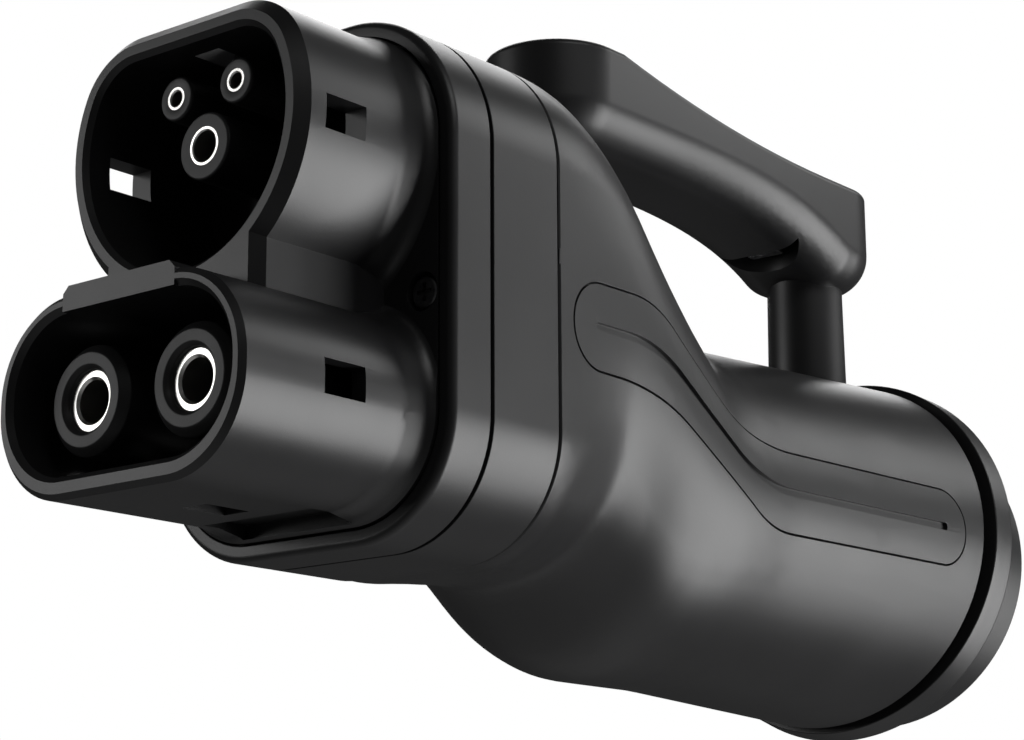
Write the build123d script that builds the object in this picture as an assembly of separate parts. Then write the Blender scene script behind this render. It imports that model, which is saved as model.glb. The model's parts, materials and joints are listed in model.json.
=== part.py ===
from build123d import *
from math import cos, radians, sin
import os

# Combined direct-current charging plug with a loop handle and a round inlet at the back.
# Millimetres, +Z up. X runs across the plug and Y runs from the front to the back. The origin is on the
# earth contact's axis, in the plane of the upper shroud's lip.

# Upper (signal) shroud: a round tube with a flat top, measured at its inner wall
signal_radius = 26.3
signal_center_z = 1.0
signal_flat_z = 18.5
signal_corner = 11.1
signal_wall = 5.2
signal_chamfer_out = 2.3
signal_chamfer_in = 1.0

# Lower (power) shroud: a wide rounded tube that stands ahead of the upper one
power_lip_y = -13.9
power_half_width = 28.6
power_top_z = -33.6
power_bottom_z = -63.9
power_corner = 14.6
power_wall_side = 3.4
power_wall_top = 3.2
power_wall_bottom = 4.3
power_chamfer = 1.1
socket_floor_y = 33.0

# Key pad on top of the lower shroud, web between the shrouds and the slot underneath
pad_half_width = 14.7
pad_height = 1.5
pad_chamfer = 1.4
web_half_width = 20.9
web_overlap = 1.0
web_chamfer = 2.3
slot_half_width = 14.2
slot_depth = 1.5
slot_front_y = 21.8

# Latch windows in the shroud walls
window_length = 10.5
window_height = 6.5
window_center_y = 11.4

# Plate that closes the nose, and the blend from the shrouds into it
plate_thickness = 4.0
blend_length = 11.0
blend_spread = 2.8

# Head of the housing: rounded rectangle with taller round corners on top
head_half_width = 37.9
head_top_z = 29.6
head_bottom_z = -74.0
head_top_corner = 27.4
head_bottom_corner = 23.8
bezel_front_y = 33.4
bezel_length = 10.8
bezel_rim = 3.4
bezel_round = 1.6
plate_gap = 0.35
shelf_depth = 3.0
seal_length = 0.9
seal_recess = 1.1
ring_length = 19.6
joint_gap = 0.2
joint_chamfer = 0.4
shell_wall = 3.0

# Barrel of the housing behind the head
barrel_center_z = -52.1
barrel_front_y = 146.0
barrel_front_radius = 38.9
barrel_rear_y = 220.2
barrel_rear_radius = 42.8
cone_start_y = 153.0
cone_end_y = 232.0
flank_turn = 22.5
neck_stations = 22
neck_crowding = 1.2
rear_center_z = -51.2
rear_tilt = 8.3

# Shoulder and chin: where the body's top and bottom lines turn from the head down to the barrel
shoulder_y = 87.3
shoulder_radius = 36.0
neck_y = 129.0
neck_radius = 15.6
crest_round_y = 127.0
chin_start_y = 89.0
chin_end_y = 109.8
chin_radius = 9.3
keel_radius = 28.0
chin_round_y = 105.0

# Side inlays with their centre grooves
inlay_thickness = 2.0
inlay_gap = 0.45
inlay_half_height = 8.7
inlay_front_y = 69.6
inlay_front_z = -27.3
inlay_bend_front_y = 96.8
inlay_bend_rear_y = 133.5
inlay_rear_z = -51.2
inlay_rear_y = 212.0
inlay_bend_radius = 34.0
inlay_end_share = 0.97
groove_half_height = 0.9
groove_depth = 0.9
groove_front_y = 76.5
groove_rear_y = 204.5

# Loop handle
handle_front_y = 112.0
handle_rear_y = 212.4
handle_half_width = 15.8
handle_front_top_z = 46.8
handle_rear_top_z = 38.4
handle_flat_end_y = 117.5
handle_level_y = 200.0
handle_front_under_z = 24.4
handle_rear_under_z = 13.2
handle_under_round = 9.6
handle_top_round = 1.6
under_bend_y = 141.0
under_end_y = 206.8
under_slope = 0.57
post_radius = 9.3
post_foot_radius = 9.8
post_sink = 2.0

# Service port under the handle's rear end
port_front_y = 191.5
port_rear_y = 199.0
port_half_width = 12.0
port_ceiling_z = 24.6
port_shell_width = 9.0
port_shell_height = 3.2
port_shell_length = 4.6
port_shell_wall = 0.4
port_shell_round = 1.0
port_tongue_width = 6.2
port_tongue_height = 0.7
port_center_y = 195.0

# Signal contacts: earth on the axis, pilot and proximity above it
contact_face_y = 6.1
earth_tube_radius = 6.6
earth_sleeve_radius = 3.75
earth_bore_radius = 3.0
pilot_offset_x = 8.0
pilot_offset_z = 11.1
pilot_tube_radius = 4.4
pilot_sleeve_radius = 2.25
pilot_bore_radius = 1.5
tube_edge = 0.6
signal_bore_depth = 24.0
signal_bore_chamfer = 0.25

# Power contacts
power_face_y = -8.7
power_pitch = 27.0
power_axis_z = -49.1
power_tube_radius = 10.4
power_tube_chamfer = 1.6
power_mouth_radius = 5.8
power_mouth_chamfer = 0.8
power_sleeve_radius = 5.6
power_bore_radius = 4.0
power_sleeve_recess = 1.6
power_bore_depth = 36.0
power_bore_chamfer = 0.5

# Contact carriers behind the nose plate
carrier_thickness = 3.5
carrier_gap = 0.15
signal_carrier_half_width = 17.0
signal_carrier_margin = 4.0
power_carrier_margin = 3.6
sleeve_tail = 6.0

# Nose screws at the waist
screw_boss_radius = 3.8
screw_head_round = 0.7
nose_screw_x = 30.3
nose_screw_z = -27.8
screw_head_radius = 3.2
screw_head_height = 2.0
screw_counterbore_radius = 3.8
screw_counterbore_depth = 2.6
screw_shank_radius = 1.7
screw_length = 8.0
cross_width = 0.9
cross_length = 3.6
cross_depth = 1.1

# Rear end, along its own tilted axis
rear_seal_length = 2.8
rear_seal_radius = 41.2
rear_ring_length = 7.4
rear_ring_front_radius = 44.7
rear_ring_rear_radius = 45.3
inlet_radius = 38.0
inlet_wall = 3.6
inlet_length = 18.7
inlet_depth = 19.0
inlet_lip_chamfer = 1.2
insert_gap = 0.2
insert_thickness = 9.0
insert_core_radius = 24.0
insert_core_height = 8.0
inlet_power_radius = 4.5
inlet_signal_radius = 1.5
inlet_pin_length = 14.0
inlet_pin_inner = 9.0
inlet_signal_ring = 16.0
signal_pin_angles = [42, 66, 90, 114, 138, 240, 300]
pin_collar_share = 1.4
pin_tip_share = 0.6

# Conductors, fuse and control board inside the housing
bar_size = 8.0
bar_round = 1.0
fuse_front_y = 96.0
fuse_length = 46.0
fuse_radius = 8.5
fuse_cap_length = 7.0
fuse_cap_radius = 9.2
earth_bar_radius = 3.0
earth_bar_bend = 16.0
board_half_width = 29.0
board_front_y = 68.0
board_length = 34.0
board_thickness = 1.6
board_z = -14.0
ledge_half_inner = 25.5
ledge_thickness = 3.0

# Bolts that hold the handle's posts from inside, and their bosses in the housing
handle_screw_radius = 2.9
handle_screw_head = 5.2
handle_screw_depth = 16.0
handle_screw_head_height = 3.5
handle_screw_socket = 2.9
screw_gap = 0.12
boss_radius = 7.5
boss_height = 12.0
boss_drop = 6.0

os.makedirs("parts", exist_ok=True)

plate_front_y = bezel_front_y
plate_rear_y = plate_front_y + plate_thickness
bezel_rear_y = bezel_front_y + bezel_length
ring_front_y = bezel_rear_y + seal_length
ring_rear_y = ring_front_y + ring_length
body_front_y = ring_rear_y + joint_gap


def cross_plane(y):
    """Upright plane across the plug at y, with local X along X and local Y along Z."""
    return Plane(origin=(0, y, 0), x_dir=(1, 0, 0), z_dir=(0, -1, 0))


def prism(sketch, y_from, y_to):
    """Sketch in X and Z drawn out along Y."""
    return extrude(cross_plane(y_from) * sketch, amount=y_from - y_to)


def rod(x, z, radius, y_from, y_to):
    return prism(Pos(x, z) * Circle(radius), y_from, y_to)


def rounded(half_width, top, bottom, top_corner, bottom_corner):
    """Upright rounded rectangle with its own radius at the top and at the bottom."""
    outline = Pos(0, (top + bottom) / 2) * Rectangle(2 * half_width, top - bottom)
    outline = fillet(outline.vertices().group_by(Axis.Y)[-1], top_corner)
    return fillet(outline.vertices().group_by(Axis.Y)[0], bottom_corner)


def signal_outline(grow):
    """Upper shroud's section, grown outwards from its inner wall."""
    radius = signal_radius + grow
    flat = signal_flat_z - signal_center_z + grow
    outline = Circle(radius) - Pos(0, flat + radius) * Rectangle(2 * radius, 2 * radius)
    outline = fillet(outline.vertices(), signal_corner + grow)
    return Pos(0, signal_center_z) * outline


def power_outline(side, top, bottom):
    """Lower shroud's section, grown outwards from its inner wall."""
    corner = power_corner + side
    return rounded(power_half_width + side, power_top_z + top, power_bottom_z - bottom, corner, corner)


def head_outline(inset):
    """Housing head's section, shrunk inwards from its outer face."""
    return rounded(head_half_width - inset, head_top_z - inset, head_bottom_z + inset,
                   head_top_corner - inset, head_bottom_corner - inset)


def front_edges(solid):
    """Outer edges of the face that lies furthest forward."""
    return solid.faces().sort_by(Axis.Y)[0].outer_wire().edges()


def front_hole_edges(solid):
    """Edges of the holes in the face that lies furthest forward."""
    wires = solid.faces().sort_by(Axis.Y)[0].inner_wires()
    return [edge for wire in wires for edge in wire.edges()]


# ---- Nose: both shrouds, the web between them and the plate that closes them ----

def signal_tube():
    tube = prism(signal_outline(signal_wall), 0, plate_rear_y)
    tube = chamfer(front_edges(tube), signal_chamfer_out)
    tube -= prism(signal_outline(0), 0, socket_floor_y)
    return chamfer(front_hole_edges(tube), signal_chamfer_in)


def power_shape(grow):
    return power_outline(power_wall_side + grow, power_wall_top + grow, power_wall_bottom + grow)


def power_tube():
    tube = prism(power_shape(0), power_lip_y, plate_rear_y)
    tube = chamfer(front_edges(tube), power_chamfer)
    tube -= prism(power_outline(0, 0, 0), power_lip_y, socket_floor_y)
    return chamfer(front_hole_edges(tube), power_chamfer)


def blend(section):
    """Soft spread of a shroud into the plate: sections on a quarter of an ellipse."""
    steps = [0, 0.45, 0.75, 0.93, 1.0]
    start = plate_front_y - blend_length
    sections = [cross_plane(start + blend_length * t) * section(blend_spread * (1 - (1 - t * t) ** 0.5))
                for t in steps]
    return loft(sections) & prism(head_outline(bezel_rim + plate_gap), start, plate_rear_y)


def key_pad():
    base = power_top_z
    top = base + power_wall_top + pad_height
    outline = Pos(0, (base + top) / 2) * Rectangle(2 * pad_half_width, top - base)
    outline = chamfer(outline.vertices().group_by(Axis.Y)[-1], pad_chamfer)
    return prism(outline, power_lip_y, plate_rear_y)


def web():
    top = signal_center_z - (signal_radius ** 2 - web_half_width ** 2) ** 0.5 - web_overlap
    bottom = power_top_z - web_overlap
    outline = Pos(0, (top + bottom) / 2) * Rectangle(2 * web_half_width, top - bottom)
    block = prism(outline, 0, plate_rear_y)
    sides = block.edges().filter_by(Axis.Z).group_by(Axis.Y)[0]
    return chamfer(sides, web_chamfer) - prism(signal_outline(signal_wall / 2), 0, plate_rear_y)


def windows():
    """Latch windows: one through each side wall, one up through the top and one down through the floor."""
    reach = head_half_width
    power_mid_z = (power_top_z + power_bottom_z) / 2
    cuts = [Pos(0, window_center_y, z) * Box(2 * reach, window_length, window_height)
            for z in (0, power_mid_z)]
    for wall_z in (signal_flat_z + signal_wall / 2, power_bottom_z - power_wall_bottom / 2):
        cuts.append(Pos(0, window_center_y, wall_z) * Box(window_height, window_length, 2 * signal_wall))
    return cuts


def contact_places():
    """Name, x, z, tube radius, sleeve radius and bore radius of each signal contact."""
    small = (pilot_tube_radius, pilot_sleeve_radius, pilot_bore_radius)
    return [
        ("earth", 0, 0, earth_tube_radius, earth_sleeve_radius, earth_bore_radius),
        ("pilot", -pilot_offset_x, pilot_offset_z, *small),
        ("proximity", pilot_offset_x, pilot_offset_z, *small),
    ]


def power_places():
    return [("minus", power_pitch / 2), ("plus", -power_pitch / 2)]


def screw_places():
    return [("left", -nose_screw_x), ("right", nose_screw_x)]


def nose_shroud():
    nose = signal_tube() + power_tube() + key_pad() + web()
    nose += prism(head_outline(bezel_rim + plate_gap), plate_front_y, plate_rear_y)
    nose += blend(lambda grow: signal_outline(signal_wall + grow))
    nose += blend(power_shape)
    nose -= prism(signal_outline(0), signal_chamfer_in, socket_floor_y)
    nose -= prism(power_outline(0, 0, 0), power_lip_y + power_chamfer, socket_floor_y)
    slot_z = power_bottom_z - power_wall_bottom
    slot = Box(2 * slot_half_width, plate_front_y - slot_front_y, 2 * slot_depth)
    nose -= Pos(0, (slot_front_y + plate_front_y) / 2, slot_z) * slot
    for cut in windows():
        nose -= cut
    for name, x, z, tube, sleeve, bore in contact_places():
        nose -= rod(x, z, tube + carrier_gap, socket_floor_y - 1, plate_rear_y)
    for name, x in power_places():
        nose -= rod(x, power_axis_z, power_tube_radius + carrier_gap, socket_floor_y - 1, plate_rear_y)
    for name, x in screw_places():
        nose -= rod(x, nose_screw_z, screw_counterbore_radius, plate_front_y - 4,
                    plate_front_y + screw_counterbore_depth)
        nose -= rod(x, nose_screw_z, screw_shank_radius, plate_front_y, plate_rear_y)
    return nose


def nose_screw(x):
    """Pan head with a cross recess, sunk in its counterbore."""
    seat = plate_front_y + screw_counterbore_depth
    head = rod(x, nose_screw_z, screw_head_radius, seat - screw_head_height, seat)
    head = fillet(front_edges(head), screw_head_round)
    for width, height in ((cross_width, cross_length), (cross_length, cross_width)):
        slot = Pos(x, nose_screw_z) * Rectangle(width, height)
        head -= prism(slot, seat - screw_head_height, seat - screw_head_height + cross_depth)
    return head + rod(x, nose_screw_z, screw_shank_radius, seat, seat + screw_length)


# ---- Head: bezel, seal and middle ring ----

def front_bezel():
    bezel = prism(head_outline(0), bezel_front_y, bezel_rear_y)
    bezel = fillet(front_edges(bezel), bezel_round)
    bezel -= prism(head_outline(bezel_rim), bezel_front_y, plate_rear_y)
    bezel -= prism(head_outline(bezel_rim + shelf_depth), bezel_front_y, bezel_rear_y)
    for name, x in screw_places():
        bezel += rod(x, nose_screw_z, screw_boss_radius, plate_rear_y, bezel_rear_y)
        bezel -= rod(x, nose_screw_z, screw_shank_radius, plate_rear_y, bezel_rear_y)
    return bezel


def bezel_seal():
    seal = prism(head_outline(seal_recess), bezel_rear_y, ring_front_y)
    return seal - prism(head_outline(seal_recess + shell_wall), bezel_rear_y, ring_front_y)


def middle_ring():
    ring = prism(head_outline(0), ring_front_y, ring_rear_y)
    ring = chamfer(ring.faces().sort_by(Axis.Y)[-1].outer_wire().edges(), joint_chamfer)
    return ring - prism(head_outline(shell_wall), ring_front_y, ring_rear_y)


# ---- Body shell: sections that run from the head's rounded rectangle into the round barrel ----

def sloped_line(y, start, end, start_radius, end_radius):
    """Height of a level line that turns down a slope and runs level again, with a round at both turns."""
    (y_a, z_a), (y_b, z_b) = start, end
    run, drop = y_b - y_a, z_a - z_b
    slope = drop / run
    half_turn = (((1 + slope * slope) ** 0.5) - 1) / slope
    before, after = start_radius * half_turn, end_radius * half_turn
    cosine = 1 / (1 + slope * slope) ** 0.5
    if y <= y_a - before:
        return z_a
    if y < y_a + before * cosine:
        return z_a - start_radius + (start_radius ** 2 - (y - y_a + before) ** 2) ** 0.5
    if y <= y_b - after * cosine:
        return z_a - slope * (y - y_a)
    if y < y_b + after:
        return z_b + end_radius - (end_radius ** 2 - (y_b + after - y) ** 2) ** 0.5
    return z_b


def barrel_radius(y):
    share = max(0.0, (y - barrel_front_y) / (barrel_rear_y - barrel_front_y))
    return barrel_front_radius + share * (barrel_rear_radius - barrel_front_radius)


def body_top(y):
    end = (neck_y, barrel_center_z + barrel_front_radius)
    rise = barrel_radius(y) - barrel_front_radius
    return sloped_line(y, (shoulder_y, head_top_z), end, shoulder_radius, neck_radius) + rise


def body_bottom(y):
    end = (chin_end_y, barrel_center_z - barrel_front_radius)
    drop = barrel_radius(y) - barrel_front_radius
    return sloped_line(y, (chin_start_y, head_bottom_z), end, chin_radius, keel_radius) - drop


def quarter_arcs(width, height, corner, turn):
    """Three tangent arcs from the middle of a side to the middle of the top: side, corner and top.

    The side and the top each curve through the angle turn, and the corner through what is left of the right
    angle. Each arc is given by its start, a point on it and its end. With no turn the sides are straight.
    """
    flat, straight = width - corner, height - corner
    if turn == 0:
        side_end, top_start = (width, straight), (flat, height)
        slant = corner * 0.5 ** 0.5
        return [((width, 0), None, side_end), (side_end, (flat + slant, straight + slant), top_start),
                (top_start, None, (0, height))]
    sine, rise = sin(turn), 1 - cos(turn)
    spread = sine * sine - rise * rise
    side = (straight * sine - flat * rise) / spread + corner
    top = (flat * sine - straight * rise) / spread + corner
    corner_x = (top - corner) * sine
    corner_z = (side - corner) * sine

    def at(x, z, radius, angle):
        return x + radius * cos(angle), z + radius * sin(angle)

    right_angle = radians(90)
    side_end = at(corner_x, corner_z, corner, turn)
    top_start = at(corner_x, corner_z, corner, right_angle - turn)
    return [
        ((width, 0), at(width - side, 0, side, turn / 2), side_end),
        (side_end, at(corner_x, corner_z, corner, right_angle / 2), top_start),
        (top_start, at(0, height - top, top, right_angle - turn / 2), (0, height)),
    ]


def soft_outline(width, top, bottom, top_corner, bottom_corner, top_turn, bottom_turn):
    """Upright rounded rectangle whose sides may curve: ten edges, split at the middle of both flanks."""
    middle = (top - top_corner + bottom + bottom_corner) / 2
    upper = quarter_arcs(width, top - middle, top_corner, top_turn)
    lower = quarter_arcs(width, middle - bottom, bottom_corner, bottom_turn)

    def edge(start, through, end):
        return Line(start, end) if through is None else ThreePointArc(start, through, end)

    def placed(point, right, up):
        return None if point is None else (right * point[0], middle + up * point[1])

    edges = []
    for arcs, up in ((upper, 1), (lower, -1)):
        for right in (1, -1):
            edges += [edge(*[placed(point, right, up) for point in arc]) for arc in arcs[:2]]
        start = arcs[2][0]
        through = None if arcs[2][1] is None else (0, middle + up * arcs[2][2][1])
        edges.append(edge(placed(start, 1, up), through, placed(start, -1, up)))
    return make_face([piece.edge() for piece in edges])


def eased(y, end):
    """Share from 0 at the body's front to 1 at end, with a soft start and a soft end."""
    share = min(1.0, max(0.0, (y - body_front_y) / (end - body_front_y)))
    return share * share * (3 - 2 * share)


def body_section(y, inset):
    crest, keel = eased(y, crest_round_y), eased(y, chin_round_y)
    half_width = head_half_width + eased(y, barrel_front_y) * (barrel_front_radius - head_half_width)
    side = half_width + barrel_radius(y) - barrel_front_radius - inset
    top_corner = side - (head_half_width - head_top_corner) * (1 - crest)
    bottom_corner = side - (head_half_width - head_bottom_corner) * (1 - keel)
    turn = radians(flank_turn)
    return soft_outline(side, body_top(y) - inset, body_bottom(y) + inset, top_corner, bottom_corner,
                        turn * crest, turn * keel)


def body_form(inset):
    """Solid of the body's outer form, or of the form that lies inset inside it.

    The loft's stations crowd together towards the neck, where the section changes fastest.
    """
    reach = cone_start_y - body_front_y
    shares = [1 - (1 - count / neck_stations) ** neck_crowding for count in range(neck_stations + 1)]
    stations = [body_front_y + reach * share for share in shares]
    neck = loft([cross_plane(y) * body_section(y, inset) for y in stations])
    ends = [cross_plane(y) * body_section(y, inset) for y in (cone_start_y, cone_end_y)]
    return neck + loft(ends, ruled=True)


def rear_plane(s):
    """Plane across the tilted rear axis, s beyond the body's rear edge, facing backwards."""
    tilt = radians(rear_tilt)
    origin = (0, barrel_rear_y + s * cos(tilt), rear_center_z - s * sin(tilt))
    return Plane(origin=origin, x_dir=(-1, 0, 0), z_dir=(0, cos(tilt), -sin(tilt)))


def rear_disc(radius, s_from, s_to, x=0.0, up=0.0):
    """Round piece about the tilted rear axis, or about a line parallel to it."""
    return extrude(rear_plane(s_from) * Pos(-x, up) * Circle(radius), amount=s_to - s_from)


def rear_half_space(s):
    """Block that fills everything beyond the plane at s."""
    reach = 4 * barrel_rear_radius
    return extrude(rear_plane(s) * Rectangle(2 * reach, 2 * reach), amount=reach)


def body_shell(outer, hollow, seat):
    """Housing behind the head: open at the front and cut square to the tilted rear axis."""
    edge = outer.faces().sort_by(Axis.Y)[0].outer_wire().edges()
    shell = chamfer(edge, joint_chamfer) - hollow
    shell += ledges(outer)
    for x, y, z in handle_bolts():
        middle = Pos(x, y, z + boss_height / 2)
        shell += (middle * Cylinder(boss_radius, boss_height)) & outer
        shell -= middle * Cylinder(handle_screw_radius + screw_gap, 3 * boss_height)
    for side in (1, -1):
        shell -= inlay_seat(seat, side)
    return shell - rear_half_space(0)


def ledges(outer):
    """Two rails along the housing's inner walls that carry the control board."""
    length = board_front_y + board_length - body_front_y
    block = Box(2 * head_half_width, length, ledge_thickness)
    block -= Box(2 * ledge_half_inner, length, ledge_thickness)
    return (Pos(0, body_front_y + length / 2, board_z - ledge_thickness / 2) * block) & outer


def handle_bolts():
    """Foot of each handle bolt's boss inside the housing: one below each post."""
    front_z = body_top(handle_front_y + boss_radius) - shell_wall - boss_drop
    rear_z = body_top(handle_rear_y - boss_radius) - shell_wall - boss_drop
    return [(0, handle_front_y, front_z), (0, handle_rear_y, rear_z)]


# ---- Side inlays: strips let into both flanks, with a groove along the middle ----

side_plane = Plane(origin=(0, 0, 0), x_dir=(0, 1, 0), z_dir=(1, 0, 0))


def flank_strip(half_height, front_y, rear_y):
    """Strip seen from the side: level at the head, down a slope, and level along the barrel."""
    lean = half_height * (inlay_front_z - inlay_rear_z) / (inlay_bend_rear_y - inlay_bend_front_y) / 2
    corners = [
        (front_y, inlay_front_z + half_height),
        (inlay_bend_front_y, inlay_front_z + half_height),
        (inlay_bend_rear_y - lean, inlay_rear_z + half_height),
        (rear_y, inlay_rear_z + half_height),
        (rear_y, inlay_rear_z - half_height),
        (inlay_bend_rear_y + lean, inlay_rear_z - half_height),
        (inlay_bend_front_y, inlay_front_z - half_height),
        (front_y, inlay_front_z - half_height),
    ]
    end = inlay_end_share * half_height
    tight = inlay_bend_radius - half_height
    wide = inlay_bend_radius + half_height
    radii = [end, tight, wide, end, end, tight, wide, end]
    return make_face(FilletPolyline(*corners, radius=radii, close=True).edges())


def flank_prism(half_height, front_y, rear_y, side):
    face = side_plane * flank_strip(half_height, front_y, rear_y)
    return extrude(face, amount=side * 2 * head_half_width)


def inlay_seat(seat, side):
    """What the shell gives up for an inlay and the gap around it."""
    front = inlay_front_y - inlay_gap
    rear = inlay_rear_y + inlay_gap
    return flank_prism(inlay_half_height + inlay_gap, front, rear, side) - seat


def left_inlay(outer, seat, groove_floor):
    """Strip that lies flush in its seat on the left flank, with a groove along the middle."""
    inlay = (flank_prism(inlay_half_height, inlay_front_y, inlay_rear_y, -1) & outer) - seat
    groove = flank_prism(groove_half_height, groove_front_y, groove_rear_y, -1) - groove_floor
    return inlay - groove


# ---- Loop handle with its service port ----

def handle_profile():
    """Handle seen from the side: flat front end, top that sinks to the rear, and an arched underside."""
    front = handle_front_y - 2 * handle_half_width
    rear = handle_rear_y + 2 * handle_half_width
    lines = [
        Line((front, handle_front_under_z), (front, handle_front_top_z)),
        Line((front, handle_front_top_z), (handle_flat_end_y, handle_front_top_z)),
        TangentArc((handle_level_y, handle_rear_top_z), (handle_flat_end_y, handle_front_top_z),
                   tangent=(-1, 0), tangent_from_first=True),
        Line((handle_level_y, handle_rear_top_z), (rear, handle_rear_top_z)),
        Line((rear, handle_rear_top_z), (rear, handle_rear_under_z)),
        Line((rear, handle_rear_under_z), (under_end_y, handle_rear_under_z)),
        Spline((under_end_y, handle_rear_under_z), (under_bend_y, handle_front_under_z),
               tangents=[(-1, under_slope), (-1, 0)]),
        Line((under_bend_y, handle_front_under_z), (front, handle_front_under_z)),
    ]
    return make_face([edge for line in lines for edge in line.edges()])


def handle_bar():
    middle = (handle_front_y + handle_rear_y) / 2
    slot = SlotCenterToCenter(handle_rear_y - handle_front_y, 2 * handle_half_width)
    bar = extrude(Pos(0, middle) * Rot(0, 0, 90) * slot, amount=2 * handle_front_top_z)
    bar &= extrude(side_plane * handle_profile(), amount=2 * handle_half_width, both=True)
    bottom = [edge for edge in bar.edges() if edge.center().Z < handle_front_under_z + 1]
    bar = fillet(bottom, handle_under_round)
    top = [edge for edge in bar.edges() if edge.center().Z > handle_rear_top_z - 0.5]
    return fillet(top, handle_top_round)


def carry_handle(outer):
    handle = handle_bar()
    for y, under in ((handle_front_y, handle_front_under_z), (handle_rear_y, handle_rear_under_z)):
        length = under - body_top(y) + 2 * post_radius
        handle += Pos(0, y, under + post_sink - length / 2) * Cone(post_foot_radius, post_radius, length)
    return handle - outer


def port_pocket():
    """Half-moon pocket in the handle's underside, and the slot that its shell plugs into."""
    front = Line((-port_half_width, port_front_y), (port_half_width, port_front_y))
    left = (-port_half_width, port_front_y)
    back = ThreePointArc((port_half_width, port_front_y), (0, port_rear_y), left)
    pocket = extrude(make_face([front.edge(), back.edge()]), amount=port_ceiling_z)
    slot_depth_up = port_shell_length / 2
    gap = 2 * screw_gap
    slot = Box(port_shell_width + gap, port_shell_height + gap, slot_depth_up)
    return pocket + Pos(0, port_center_y, port_ceiling_z + slot_depth_up / 2) * slot


def service_port():
    """Metal shell of the port, open downwards, with its contact tongue."""
    length = port_shell_length + port_shell_length / 2
    shell = Box(port_shell_width, port_shell_height, length)
    shell = fillet(shell.edges().filter_by(Axis.Z), port_shell_round)
    width = port_shell_width - 2 * port_shell_wall
    height = port_shell_height - 2 * port_shell_wall
    shell -= Pos(0, 0, -port_shell_wall) * Box(width, height, length)
    tongue = Box(port_tongue_width, port_tongue_height, length - 4 * port_shell_wall)
    shell += Pos(0, 0, port_shell_wall) * tongue
    return Pos(0, port_center_y, port_ceiling_z + port_shell_length / 2 - length / 2) * shell


def handle_bolt(x, y, z):
    """Hexagon socket bolt that holds a handle post from inside the housing."""
    under = z - handle_screw_head_height
    head = Pos(x, y, (under + z) / 2) * Cylinder(handle_screw_head, handle_screw_head_height)
    hexagon = RegularPolygon(handle_screw_socket, 6)
    head -= Pos(x, y, under) * extrude(hexagon, amount=handle_screw_head_height / 2)
    length = boss_drop + shell_wall + handle_screw_depth
    return head + Pos(x, y, z + length / 2) * Cylinder(handle_screw_radius, length)


def bolt_hole(x, y, z):
    length = boss_drop + shell_wall + handle_screw_depth + 1
    return Pos(x, y, z + length / 2) * Cylinder(handle_screw_radius + screw_gap, length)


# ---- Rear end: seal, ring, inlet barrel, insert and pins on the tilted axis ----

def rear_seal():
    hole = rear_disc(inlet_radius + insert_gap, 0, rear_seal_length)
    return rear_disc(rear_seal_radius, 0, rear_seal_length) - hole


def rear_ring():
    start = rear_seal_length
    end = start + rear_ring_length
    front_circle = rear_plane(start) * Circle(rear_ring_front_radius)
    ring = loft([front_circle, rear_plane(end) * Circle(rear_ring_rear_radius)])
    rear_edge = ring.edges().filter_by(GeomType.CIRCLE).sort_by(Axis.Y)[-1]
    ring = chamfer(rear_edge, 2 * joint_chamfer)
    return ring - rear_disc(inlet_radius + insert_gap, start, end)


inlet_end = rear_seal_length + rear_ring_length + inlet_length
insert_face = inlet_end - inlet_depth
insert_back = insert_face - insert_thickness
inlet_back = insert_back - inlet_wall


def inlet_barrel():
    """Round socket of the inlet: a tube with a shoulder that the insert stands on."""
    barrel = rear_disc(inlet_radius, inlet_back, inlet_end)
    lip = barrel.edges().filter_by(GeomType.CIRCLE).sort_by(Axis.Y)[-1]
    barrel = chamfer(lip, inlet_lip_chamfer)
    barrel -= rear_disc(inlet_radius - inlet_wall, insert_back, inlet_end)
    return barrel - rear_disc(inlet_radius - 2 * inlet_wall, inlet_back, insert_back)


def inlet_pins():
    """Name, x, height and radius of each pin: the power pins line up with the bars inside."""
    tilt = radians(rear_tilt)
    pin_back = insert_back - inlet_pin_inner
    axis_z = rear_center_z - pin_back * sin(tilt)
    power_up = (power_axis_z - axis_z) / cos(tilt)
    pins = [("inlet_power_pin_" + name, x, power_up, inlet_power_radius) for name, x in power_places()]
    for count, angle in enumerate(signal_pin_angles, start=1):
        x = inlet_signal_ring * cos(radians(angle))
        up = inlet_signal_ring * sin(radians(angle))
        pins.append((f"inlet_signal_pin_{count}", x, up, inlet_signal_radius))
    return pins


def inlet_insert():
    """Insulator that carries the pins, with a raised core in the middle of the socket."""
    insert = rear_disc(inlet_radius - inlet_wall - insert_gap, insert_back, insert_face)
    insert += rear_disc(insert_core_radius, insert_face, insert_face + insert_core_height)
    core_edge = insert.edges().filter_by(GeomType.CIRCLE).sort_by(Axis.Y)[-1]
    insert = chamfer(core_edge, inlet_lip_chamfer)
    for name, x, up, radius in inlet_pins():
        insert -= rear_disc(radius + carrier_gap, insert_back, insert_face + insert_core_height, x, up)
    return insert


def inlet_pin(x, up, radius):
    """Round pin with a rounded tip and a collar behind the insert."""
    front = insert_face + insert_core_height + inlet_pin_length - inlet_lip_chamfer
    pin = rear_disc(radius, insert_back, front, x, up)
    tip = pin.edges().filter_by(GeomType.CIRCLE).sort_by(Axis.Y)[-1]
    pin = fillet(tip, pin_tip_share * radius)
    return pin + rear_disc(pin_collar_share * radius, insert_back - inlet_pin_inner, insert_back, x, up)


# ---- Contact carriers and contacts of the nose ----

carrier_rear_y = plate_rear_y + carrier_thickness
sleeve_rear_y = carrier_rear_y + sleeve_tail


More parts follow.
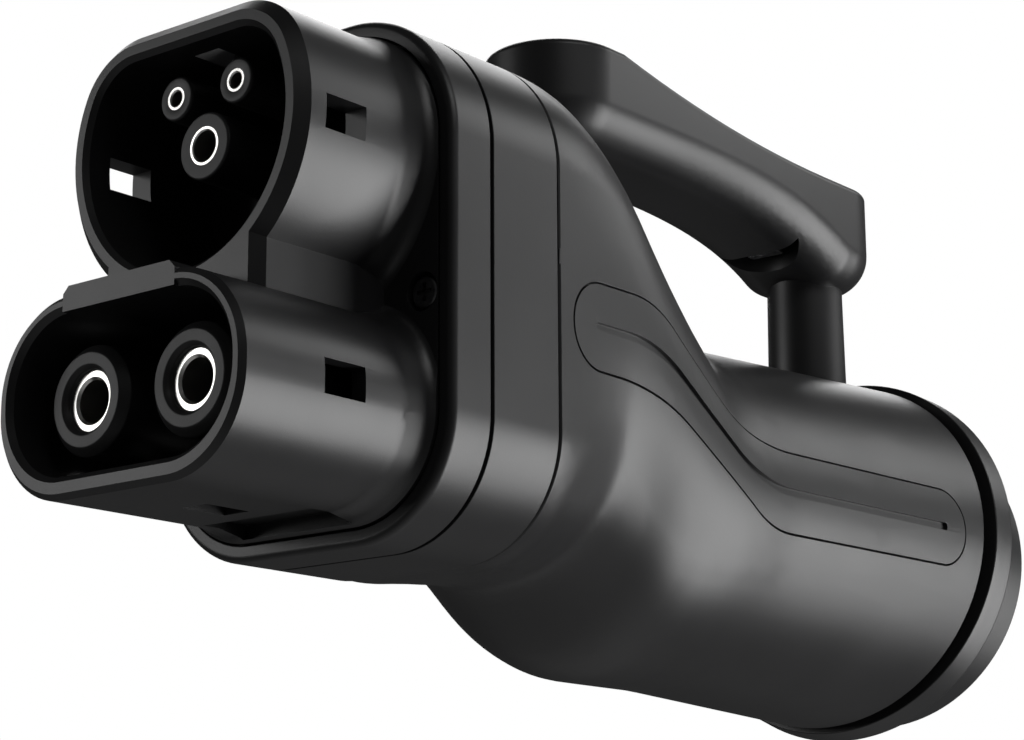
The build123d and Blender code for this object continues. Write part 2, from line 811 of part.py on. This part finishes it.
def signal_carrier():
    """Insulator plate behind the nose plate, with a hole for each signal guide."""
    top = pilot_offset_z + pilot_tube_radius + signal_carrier_margin
    bottom = -earth_tube_radius - signal_carrier_margin
    corner = signal_carrier_margin
    plate = rounded(signal_carrier_half_width, top, bottom, corner, corner)
    carrier = prism(plate, plate_rear_y, carrier_rear_y)
    for name, x, z, tube, sleeve, bore in contact_places():
        carrier -= rod(x, z, tube, plate_rear_y, carrier_rear_y)
    return carrier


def signal_guide(x, z, tube, sleeve):
    """Insulating tube around a signal contact, from the carrier to the contact's face."""
    guide = rod(x, z, tube, contact_face_y, carrier_rear_y)
    return fillet(front_edges(guide), tube_edge) - rod(x, z, sleeve, contact_face_y, carrier_rear_y)


def signal_sleeve(x, z, sleeve, bore):
    """Turned contact, bored from the front and closed at the back."""
    contact = rod(x, z, sleeve, contact_face_y, sleeve_rear_y)
    contact -= rod(x, z, bore, contact_face_y, contact_face_y + signal_bore_depth)
    return chamfer(front_hole_edges(contact), signal_bore_chamfer)


def power_carrier():
    """Insulator plate behind the nose plate, with a hole for each power guide."""
    reach = power_tube_radius + power_carrier_margin
    plate = rounded(power_pitch / 2 + reach, power_axis_z + reach, power_axis_z - reach,
                    power_carrier_margin, power_carrier_margin)
    carrier = prism(plate, plate_rear_y, carrier_rear_y)
    for name, x in power_places():
        carrier -= rod(x, power_axis_z, power_tube_radius, plate_rear_y, carrier_rear_y)
    return carrier


def power_guide(x):
    """Insulating tube around a power contact, with a mouth in front of the contact."""
    guide = rod(x, power_axis_z, power_tube_radius, power_face_y, carrier_rear_y)
    guide = chamfer(front_edges(guide), power_tube_chamfer)
    guide -= rod(x, power_axis_z, power_mouth_radius, power_face_y, power_face_y + power_sleeve_recess)
    guide = chamfer(front_hole_edges(guide), power_mouth_chamfer)
    return guide - rod(x, power_axis_z, power_sleeve_radius, power_face_y, carrier_rear_y)


def power_sleeve(x):
    """Turned power contact, recessed behind the mouth of its tube."""
    start = power_face_y + power_sleeve_recess
    contact = rod(x, power_axis_z, power_sleeve_radius, start, sleeve_rear_y)
    contact -= rod(x, power_axis_z, power_bore_radius, start, start + power_bore_depth)
    return chamfer(front_hole_edges(contact), power_bore_chamfer)


# ---- Conductors, fuse and control board ----

def bar(x, y_from, y_to):
    section = fillet(Rectangle(bar_size, bar_size).vertices(), bar_round)
    return prism(Pos(x, power_axis_z) * section, y_from, y_to)


def fuse():
    """Cartridge fuse with a cap at each end, between the two halves of the plus bar."""
    x = -power_pitch / 2
    end = fuse_front_y + fuse_length
    body = rod(x, power_axis_z, fuse_radius, fuse_front_y, end)
    for start in (fuse_front_y, end - fuse_cap_length):
        body += rod(x, power_axis_z, fuse_cap_radius, start, start + fuse_cap_length)
    return body


def earth_bar():
    """Round conductor from the earth contact down to the top pin of the inlet."""
    tilt = radians(rear_tilt)
    pin_back = insert_back - inlet_pin_inner
    end_y = barrel_rear_y + pin_back * cos(tilt) + inlet_signal_ring * sin(tilt)
    end_z = rear_center_z - pin_back * sin(tilt) + inlet_signal_ring * cos(tilt)
    drop_y = sleeve_rear_y + earth_bar_bend
    stop_y = end_y + earth_bar_radius
    route = [(0, sleeve_rear_y, 0), (0, drop_y, 0), (0, drop_y, end_z), (0, stop_y, end_z)]
    path = FilletPolyline(*route, radius=[2 * earth_bar_radius, 2 * earth_bar_radius])
    return sweep(cross_plane(sleeve_rear_y) * Circle(earth_bar_radius), path=path)


def control_board():
    board = Box(2 * board_half_width, board_length, board_thickness)
    return Pos(0, board_front_y + board_length / 2, board_z + board_thickness / 2) * board


def pieces():
    outer = body_form(0)
    hollow = body_form(shell_wall)
    seat = body_form(inlay_thickness)
    groove_floor = body_form(groove_depth)
    inlay = left_inlay(outer, seat, groove_floor)
    parts = {
        "nose_shroud": nose_shroud(),
        "front_bezel": front_bezel(),
        "bezel_seal": bezel_seal(),
        "middle_ring": middle_ring(),
        "body_shell": body_shell(outer, hollow, seat),
        "side_inlay_left": inlay,
        "side_inlay_right": mirror(inlay, about=Plane.YZ),
        "service_port": service_port(),
        "rear_seal": rear_seal(),
        "rear_ring": rear_ring(),
        "inlet_barrel": inlet_barrel(),
        "inlet_insert": inlet_insert(),
        "signal_carrier": signal_carrier(),
        "power_carrier": power_carrier(),
        "fuse": fuse(),
        "control_board": control_board(),
    }
    handle = carry_handle(outer) - port_pocket()
    for name, place in zip(("front", "rear"), handle_bolts()):
        handle -= bolt_hole(*place)
        parts["handle_bolt_" + name] = handle_bolt(*place)
    parts["carry_handle"] = handle
    for name, x, z, tube, sleeve, bore in contact_places():
        parts[name + "_guide"] = signal_guide(x, z, tube, sleeve)
        parts[name + "_contact"] = signal_sleeve(x, z, sleeve, bore)
    for name, x in power_places():
        parts["power_guide_" + name] = power_guide(x)
        parts["power_contact_" + name] = power_sleeve(x)
    for name, x in screw_places():
        parts["nose_screw_" + name] = nose_screw(x)
    for name, x, up, radius in inlet_pins():
        parts[name] = inlet_pin(x, up, radius)
    behind_pins = rear_half_space(insert_back - inlet_pin_inner)
    parts["bar_minus"] = bar(power_pitch / 2, sleeve_rear_y, barrel_rear_y) - behind_pins
    parts["bar_plus_front"] = bar(-power_pitch / 2, sleeve_rear_y, fuse_front_y)
    parts["bar_plus_rear"] = bar(-power_pitch / 2, fuse_front_y + fuse_length, barrel_rear_y) - behind_pins
    parts["earth_bar"] = earth_bar() - behind_pins
    return parts


for name, solid in pieces().items():
    export_step(solid, f"parts/{name}.step")
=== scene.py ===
import json
import math

import bpy
from mathutils import Matrix, Vector


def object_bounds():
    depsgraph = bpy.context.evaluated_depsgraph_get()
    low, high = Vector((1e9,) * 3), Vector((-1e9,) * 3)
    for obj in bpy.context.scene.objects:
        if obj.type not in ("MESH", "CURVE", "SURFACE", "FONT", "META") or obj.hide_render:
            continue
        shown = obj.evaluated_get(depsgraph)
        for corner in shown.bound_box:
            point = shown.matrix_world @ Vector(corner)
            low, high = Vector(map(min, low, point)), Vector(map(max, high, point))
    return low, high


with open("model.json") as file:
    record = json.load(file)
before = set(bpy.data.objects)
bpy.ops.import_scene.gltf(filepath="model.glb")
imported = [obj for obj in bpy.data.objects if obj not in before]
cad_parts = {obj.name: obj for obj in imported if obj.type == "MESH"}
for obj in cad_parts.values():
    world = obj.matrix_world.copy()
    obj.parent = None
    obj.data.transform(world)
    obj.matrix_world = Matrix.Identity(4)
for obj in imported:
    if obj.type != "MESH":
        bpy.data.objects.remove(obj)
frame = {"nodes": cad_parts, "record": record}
cadBox = [list(corner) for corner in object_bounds()]
nodes = frame["nodes"]
print("frame loaded:", len(nodes), "nodes")


class Shade:
    # One output of a shader node. Arithmetic on it adds Math nodes, and make() adds any other node.

    def __init__(self, tree, out=None):
        self.tree = tree
        self.out = out

    def make(self, kind, settings=None, inputs=None, output=0):
        node = self.tree.nodes.new(kind)
        for name, value in (settings or {}).items():
            setattr(node, name, value)
        for name, value in (inputs or {}).items():
            if isinstance(value, Shade):
                self.tree.links.new(value.out, node.inputs[name])
            else:
                node.inputs[name].default_value = value
        return Shade(self.tree, node.outputs[output] if len(node.outputs) else None)

    def math(self, operation, left, right=0.0):
        return self.make("ShaderNodeMath", {"operation": operation}, {0: left, 1: right})

    def __add__(self, other):
        return self.math("ADD", self, other)

    def __radd__(self, other):
        return self.math("ADD", other, self)

    def __sub__(self, other):
        return self.math("SUBTRACT", self, other)

    def __rsub__(self, other):
        return self.math("SUBTRACT", other, self)

    def __mul__(self, other):
        return self.math("MULTIPLY", self, other)

    def __rmul__(self, other):
        return self.math("MULTIPLY", other, self)

    def clipped(self, low, high):
        # 0 at low, 1 at high, and straight between them
        limits = {"From Min": low, "From Max": high}
        return self.make("ShaderNodeMapRange", {"clamp": True}, {"Value": self, **limits})


def newMaterial(name):
    material = bpy.data.materials.new(name)
    material.use_nodes = True
    material.node_tree.nodes.clear()
    return material, Shade(material.node_tree)


def noise(shade, place, scale, detail=2.0, rough=0.5):
    # noise from 0 to 1, with scale in grains to the metre
    values = {"Vector": place, "Scale": scale, "Detail": detail, "Roughness": rough}
    return shade.make("ShaderNodeTexNoise", {"noise_dimensions": "3D"}, values)


def mixColor(shade, share, first, second):
    settings = {"data_type": "RGBA"}
    return shade.make("ShaderNodeMix", settings, {0: share, 6: (*first, 1), 7: (*second, 1)}, output=2)


def surface(shade, inputs):
    principled = shade.make("ShaderNodeBsdfPrincipled", None, inputs)
    shade.make("ShaderNodeOutputMaterial", None, {"Surface": principled})


def objectPlace(shade):
    return shade.make("ShaderNodeTexCoord", output=3)


mould = {"pitRatio": 3.1, "grainShare": 0.65, "speckStart": 0.62, "speckEnd": 0.74, "cloudStart": 0.3,
         "cloudEnd": 0.7, "cloudShare": 0.6}


def moulded(name, look):
    # dyed plastic from a finely eroded mould: two sizes of grain, faint flow clouds and worn gloss
    material, shade = newMaterial(name)
    place = objectPlace(shade)
    clouds = noise(shade, place, look["cloudScale"], 3.0)
    grain = noise(shade, place, look["grainScale"], 2.0, 0.6)
    pits = noise(shade, place, look["grainScale"] / mould["pitRatio"], 1.0)
    height = grain * mould["grainShare"] + pits * (1 - mould["grainShare"])
    specks = grain.clipped(mould["speckStart"], mould["speckEnd"])
    rough = look["roughness"] + (clouds - 0.5) * look["roughSpread"] + specks * look["speckRough"]
    bump = shade.make("ShaderNodeBump", None, {
        "Strength": look["grainStrength"], "Distance": look["grainDepth"], "Height": height})
    wear = clouds.clipped(mould["cloudStart"], mould["cloudEnd"]) * mould["cloudShare"]
    wear = wear + specks * (1 - mould["cloudShare"])
    color = mixColor(shade, wear, look["color"], look["lightColor"])
    surface(shade, {"Base Color": color, "Roughness": rough, "Normal": bump})
    return material


lathe = {"stretch": (0.06, 1.0, 0.06), "darkStart": 0.35, "darkEnd": 0.75}


def turnedMetal(name, look):
    # metal turned on a lathe: faint rings along the axis Y and slightly uneven plating
    material, shade = newMaterial(name)
    place = objectPlace(shade)
    stretched = shade.make("ShaderNodeMapping", {"vector_type": "POINT"}, {
        "Vector": place, "Scale": lathe["stretch"]})
    rings = noise(shade, stretched, look["ringScale"], 2.0)
    plating = noise(shade, place, look["platingScale"], 3.0)
    rough = look["roughness"] + (plating - 0.5) * look["roughSpread"]
    bump = shade.make("ShaderNodeBump", None, {
        "Strength": look["ringStrength"], "Distance": look["ringDepth"], "Height": rings})
    tarnish = plating.clipped(lathe["darkStart"], lathe["darkEnd"])
    color = mixColor(shade, tarnish, look["color"], look["darkColor"])
    surface(shade, {"Base Color": color, "Roughness": rough, "Metallic": 1.0, "Normal": bump})
    return material


shroudPlastic = moulded("shroudPlastic", {
    "color": (0.0120, 0.0120, 0.0126), "lightColor": (0.0190, 0.0190, 0.0198), "roughness": 0.36,
    "roughSpread": 0.10, "speckRough": 0.06, "grainScale": 5200.0, "grainStrength": 0.25,
    "grainDepth": 0.00006, "cloudScale": 45.0})
housingPlastic = moulded("housingPlastic", {
    "color": (0.0120, 0.0120, 0.0126), "lightColor": (0.0180, 0.0180, 0.0188), "roughness": 0.38,
    "roughSpread": 0.10, "speckRough": 0.06, "grainScale": 4200.0, "grainStrength": 0.25,
    "grainDepth": 0.00006, "cloudScale": 30.0})
inlayPlastic = moulded("inlayPlastic", {
    "color": (0.0115, 0.0115, 0.0120), "lightColor": (0.0170, 0.0170, 0.0178), "roughness": 0.40,
    "roughSpread": 0.08, "speckRough": 0.05, "grainScale": 5600.0, "grainStrength": 0.22,
    "grainDepth": 0.00005, "cloudScale": 40.0})
insulatorPlastic = moulded("insulatorPlastic", {
    "color": (0.0130, 0.0130, 0.0135), "lightColor": (0.0210, 0.0210, 0.0215), "roughness": 0.45,
    "roughSpread": 0.10, "speckRough": 0.08, "grainScale": 6500.0, "grainStrength": 0.3,
    "grainDepth": 0.00006, "cloudScale": 90.0})
sealRubber = moulded("sealRubber", {
    "color": (0.0060, 0.0060, 0.0062), "lightColor": (0.0110, 0.0110, 0.0112), "roughness": 0.72,
    "roughSpread": 0.12, "speckRough": 0.05, "grainScale": 3000.0, "grainStrength": 0.4,
    "grainDepth": 0.00010, "cloudScale": 60.0})
silverPlate = turnedMetal("silverPlate", {
    "color": (0.90, 0.89, 0.86), "darkColor": (0.78, 0.77, 0.74), "roughness": 0.22, "roughSpread": 0.12,
    "ringScale": 9000.0, "ringStrength": 0.2, "ringDepth": 0.00003, "platingScale": 900.0})
zincSteel = turnedMetal("zincSteel", {
    "color": (0.22, 0.22, 0.225), "darkColor": (0.10, 0.10, 0.105), "roughness": 0.36, "roughSpread": 0.2,
    "ringScale": 7000.0, "ringStrength": 0.3, "ringDepth": 0.00005, "platingScale": 700.0})
portSteel = turnedMetal("portSteel", {
    "color": (0.62, 0.62, 0.63), "darkColor": (0.45, 0.45, 0.46), "roughness": 0.30, "roughSpread": 0.15,
    "ringScale": 5000.0, "ringStrength": 0.1, "ringDepth": 0.00003, "platingScale": 500.0})
bareCopper = turnedMetal("bareCopper", {
    "color": (0.72, 0.36, 0.22), "darkColor": (0.42, 0.20, 0.12), "roughness": 0.35, "roughSpread": 0.2,
    "ringScale": 2500.0, "ringStrength": 0.15, "ringDepth": 0.00004, "platingScale": 120.0})
fuseCeramic = moulded("fuseCeramic", {
    "color": (0.62, 0.58, 0.50), "lightColor": (0.74, 0.71, 0.64), "roughness": 0.30, "roughSpread": 0.1,
    "speckRough": 0.05, "grainScale": 1500.0, "grainStrength": 0.1, "grainDepth": 0.00004,
    "cloudScale": 60.0})
boardLacquer = moulded("boardLacquer", {
    "color": (0.010, 0.075, 0.030), "lightColor": (0.016, 0.110, 0.045), "roughness": 0.32,
    "roughSpread": 0.1, "speckRough": 0.05, "grainScale": 2500.0, "grainStrength": 0.15,
    "grainDepth": 0.00004, "cloudScale": 200.0})
print("materials ready")

slotMaterials = {
    "shroud_plastic": shroudPlastic,
    "housing_plastic": housingPlastic,
    "inlay_plastic": inlayPlastic,
    "seal_rubber": sealRubber,
    "insulator_plastic": insulatorPlastic,
    "contact_silver": silverPlate,
    "screw_steel": zincSteel,
    "port_steel": portSteel,
    "copper": bareCopper,
    "fuse_body": fuseCeramic,
    "circuit_board": boardLacquer,
}
nodeSlots = {entry["node"]: entry["material_slot"] for entry in frame["record"]["subparts"]}
for name, node in nodes.items():
    node.data.materials.clear()
    node.data.materials.append(slotMaterials[nodeSlots[name]])
print("materials given to", len(nodes), "nodes")


def soften(node, look):
    # rounded edges: the loose faces are joined, the sharp edges rounded and the flats kept flat
    weld = node.modifiers.new("weld", "WELD")
    weld.merge_threshold = look["weld"]
    rounding = node.modifiers.new("round", "BEVEL")
    rounding.width = look["radius"]
    rounding.segments = look["segments"]
    rounding.limit_method = "ANGLE"
    rounding.angle_limit = math.radians(look["angle"])
    rounding.use_clamp_overlap = True
    rounding.miter_outer = "MITER_ARC"
    even = node.modifiers.new("even", "WEIGHTED_NORMAL")
    even.mode = "FACE_AREA_WITH_ANGLE"
    even.weight = 60
    even.keep_sharp = False


bevel = {"weld": 0.000004, "segments": 3, "angle": 24.0}
edges = {
    "nose_shroud": 0.00035, "front_bezel": 0.00030, "middle_ring": 0.00018, "body_shell": 0.00022,
    "carry_handle": 0.0003, "side_inlay_left": 0.0008, "side_inlay_right": 0.0008, "rear_ring": 0.00035,
    "inlet_barrel": 0.0003, "signal_carrier": 0.00022, "power_carrier": 0.00025, "earth_guide": 0.00022,
    "pilot_guide": 0.0002, "proximity_guide": 0.0002, "power_guide_plus": 0.0003, "power_guide_minus": 0.0003,
}
for name, radius in edges.items():
    soften(nodes[name], {"radius": radius, **bevel})
print("edges rounded on", len(edges), "nodes")


viewpoint = {"azimuth": 39.38, "elevation": -13.28, "roll": -0.24, "lens": 86.1,
             "position": (0.32044, -0.29396, -0.14600), "sensor": 36.0, "nearest": 0.01}
studio = {
    "floorDrop": 1.3, "floorSize": 60.0, "floorColor": (0.80, 0.80, 0.80), "floorRoughness": 0.9,
    "floorGlow": (0.82, 0.82, 0.82),
    "worldCamera": 1.0, "worldGlossy": 0.045, "worldFill": 0.05,
    "center": (0.0, 0.12, -0.03),
    "lamps": [
        {"name": "keySide", "azimuth": 129, "elevation": -17, "distance": 1.3, "size": (0.75, 1),
         "power": 17},
        {"name": "backRim", "azimuth": 150, "elevation": 30, "distance": 1.3, "size": (0.5, 0.4),
         "power": 2.2},
        {"name": "topStrip", "azimuth": 75, "elevation": 42, "distance": 1.3, "size": (0.9, 0.3),
         "power": 2.5},
        {"name": "lipFill", "azimuth": -45, "elevation": 8, "distance": 1.3, "size": (0.6, 0.6),
         "power": 2.6},
        {"name": "backFill", "azimuth": -140, "elevation": 38, "distance": 1.4, "size": (1.0, 0.9),
         "power": 9},
    ],
}


def direction(azimuth, elevation):
    # unit vector from the object towards the camera or a lamp; azimuth 0 is in front, along -Y
    a = math.radians(azimuth)
    e = math.radians(elevation)
    return Vector((math.sin(a) * math.cos(e), -math.cos(a) * math.cos(e), math.sin(e)))


def aimed(toward, roll=0.0):
    # rotation whose local Z points back along toward, with local X level before the roll
    right = Vector((0, 0, 1)).cross(toward).normalized()
    up = toward.cross(right)
    turn = Matrix((right, up, toward)).transposed().to_4x4()
    return turn @ Matrix.Rotation(math.radians(roll), 4, "Z")


def addCamera(view):
    camera = bpy.data.objects.new("camera", bpy.data.cameras.new("camera"))
    bpy.context.scene.collection.objects.link(camera)
    camera.data.sensor_width = view["sensor"]
    camera.data.lens = view["lens"]
    camera.data.clip_start = view["nearest"]
    place = Matrix.Translation(Vector(view["position"]))
    camera.matrix_world = place @ aimed(direction(view["azimuth"], view["elevation"]), view["roll"])
    bpy.context.scene.camera = camera


def addLamp(lamp, center):
    light = bpy.data.lights.new(lamp["name"], "AREA")
    light.shape = "RECTANGLE"
    light.size = lamp["size"][0]
    light.size_y = lamp["size"][1]
    light.energy = lamp["power"]
    toward = direction(lamp["azimuth"], lamp["elevation"])
    thing = bpy.data.objects.new(lamp["name"], light)
    bpy.context.scene.collection.objects.link(thing)
    thing.matrix_world = Matrix.Translation(Vector(center) + toward * lamp["distance"]) @ aimed(toward)


def addFloor(stage, lowest):
    # one square of plain pale grey, which also glows for the camera so that it stays pale in dim light
    half = stage["floorSize"] / 2
    z = lowest - stage["floorDrop"]
    mesh = bpy.data.meshes.new("floor")
    corners = [(-half, -half, z), (half, -half, z), (half, half, z), (-half, half, z)]
    mesh.from_pydata(corners, [], [(0, 1, 2, 3)])
    floor = bpy.data.objects.new("floor", mesh)
    bpy.context.scene.collection.objects.link(floor)
    material, shade = newMaterial("floorPaint")
    tint = noise(shade, objectPlace(shade), 3.0)
    pale = mixColor(shade, tint, stage["floorColor"], [level * 0.97 for level in stage["floorColor"]])
    seen = shade.make("ShaderNodeLightPath", output="Is Camera Ray")
    glow = mixColor(shade, seen, (0.0, 0.0, 0.0), stage["floorGlow"])
    surface(shade, {"Base Color": pale, "Roughness": stage["floorRoughness"],
                    "Emission Color": glow, "Emission Strength": 1.0})
    mesh.materials.append(material)


def setWorld(stage):
    # white where the camera looks past the object, dimmer in reflections and as fill light
    world = bpy.data.worlds.new("studio")
    world.use_nodes = True
    world.node_tree.nodes.clear()
    bpy.context.scene.world = world
    shade = Shade(world.node_tree)
    seen = shade.make("ShaderNodeLightPath", output="Is Camera Ray")
    mirrored = shade.make("ShaderNodeLightPath", output="Is Glossy Ray")
    through = shade.make("ShaderNodeLightPath", output="Is Transmission Ray")
    fill = stage["worldFill"]
    strength = fill + (seen + through) * (stage["worldCamera"] - fill)
    strength = strength + mirrored * (stage["worldGlossy"] - fill)
    background = shade.make("ShaderNodeBackground", None, {"Color": (1, 1, 1, 1), "Strength": strength})
    shade.make("ShaderNodeOutputWorld", None, {"Surface": background})


addCamera(viewpoint)
for lamp in studio["lamps"]:
    addLamp(lamp, studio["center"])
addFloor(studio, cadBox[0][2])
setWorld(studio)
bpy.context.scene.view_settings.view_transform = "Standard"
print("stage, camera and lamps ready")
